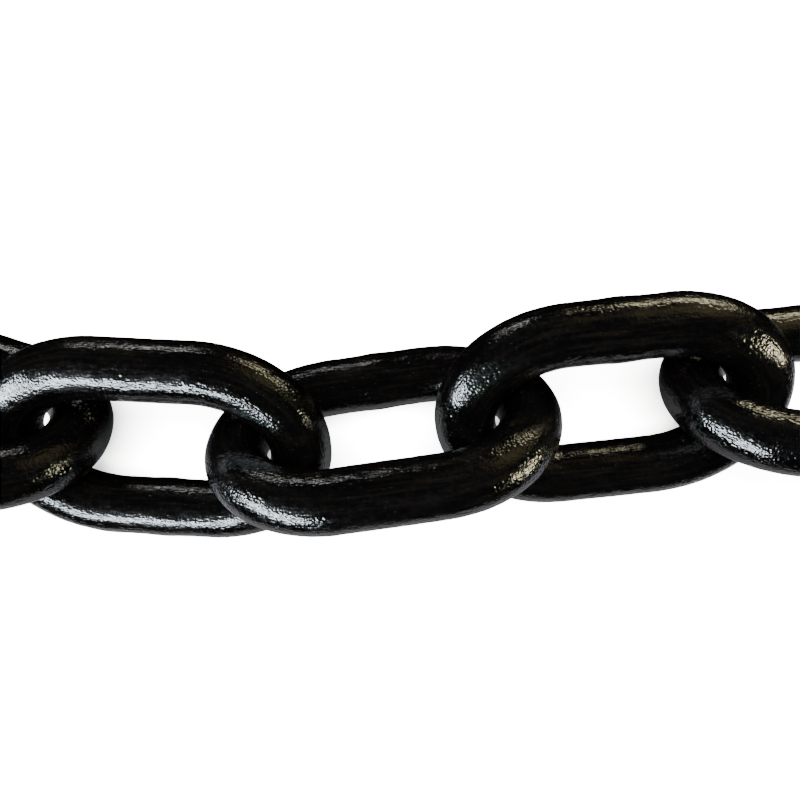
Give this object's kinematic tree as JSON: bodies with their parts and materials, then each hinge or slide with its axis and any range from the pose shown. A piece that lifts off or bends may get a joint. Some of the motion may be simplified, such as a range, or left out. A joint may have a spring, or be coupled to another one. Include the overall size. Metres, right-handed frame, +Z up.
{
  "type": "studless anchor chain",
  "caption": "Length of studless anchor chain of long oval links, lying as a gently curved run on the floor, each link leaning to the other side of the last.",
  "frame": {"origin": "centre of the run's outline, on the floor that it lies on", "axes": "+X along the run from link_01 to link_10, +Y across it on the floor, +Z up"},
  "size_m": [1.0251, 0.1706, 0.0768],
  "materials": {
    "black_paint": "gloss black paint over forged steel"
  },
  "bodies": {
    "link_01": {"link_01": "black_paint"},
    "link_02": {"link_02": "black_paint"},
    "link_03": {"link_03": "black_paint"},
    "link_04": {"link_04": "black_paint"},
    "link_05": {"link_05": "black_paint"},
    "link_06": {"link_06": "black_paint"},
    "link_07": {"link_07": "black_paint"},
    "link_08": {"link_08": "black_paint"},
    "link_09": {"link_09": "black_paint"},
    "link_10": {"link_10": "black_paint"}
  },
  "joints": [
    {"name": "swing_02", "type": "hinge", "parent": "link_01", "child": "link_02", "pos_m": [-0.37644, 0.02554, 0.03649], "axis": [0.1698, 0.7354, 0.6561], "range_deg": [-90, 90]},
    {"name": "swing_03", "type": "hinge", "parent": "link_02", "child": "link_03", "pos_m": [-0.27899, 0.00907, 0.03699], "axis": [-0.129, -0.7319, 0.6691], "range_deg": [-90, 90]},
    {"name": "swing_04", "type": "hinge", "parent": "link_03", "child": "link_04", "pos_m": [-0.18421, -0.01757, 0.03699], "axis": [-0.1923, -0.7178, -0.6691], "range_deg": [-90, 90]},
    {"name": "swing_05", "type": "hinge", "parent": "link_04", "child": "link_05", "pos_m": [-0.08965, -0.04489, 0.03839], "axis": [0.1949, 0.6797, -0.7071], "range_deg": [-90, 90]},
    {"name": "swing_06", "type": "hinge", "parent": "link_05", "child": "link_06", "pos_m": [0.00935, -0.04704, 0.03603], "axis": [0.0401, 0.765, 0.6428], "range_deg": [-90, 90]},
    {"name": "swing_07", "type": "hinge", "parent": "link_06", "child": "link_07", "pos_m": [0.10664, -0.03069, 0.03747], "axis": [0.1018, -0.7242, 0.682], "range_deg": [-90, 90]},
    {"name": "swing_08", "type": "hinge", "parent": "link_07", "child": "link_08", "pos_m": [0.20472, -0.02087, 0.03699], "axis": [0.0777, -0.7391, -0.6691], "range_deg": [-90, 90]},
    {"name": "swing_09", "type": "hinge", "parent": "link_08", "child": "link_09", "pos_m": [0.30323, -0.01249, 0.03699], "axis": [-0.0648, 0.7403, -0.6691], "range_deg": [-90, 90]},
    {"name": "swing_10", "type": "hinge", "parent": "link_09", "child": "link_10", "pos_m": [0.40119, 0.00002, 0.03699], "axis": [-0.0906, 0.7376, 0.6691], "range_deg": [-90, 90]}
  ]
}
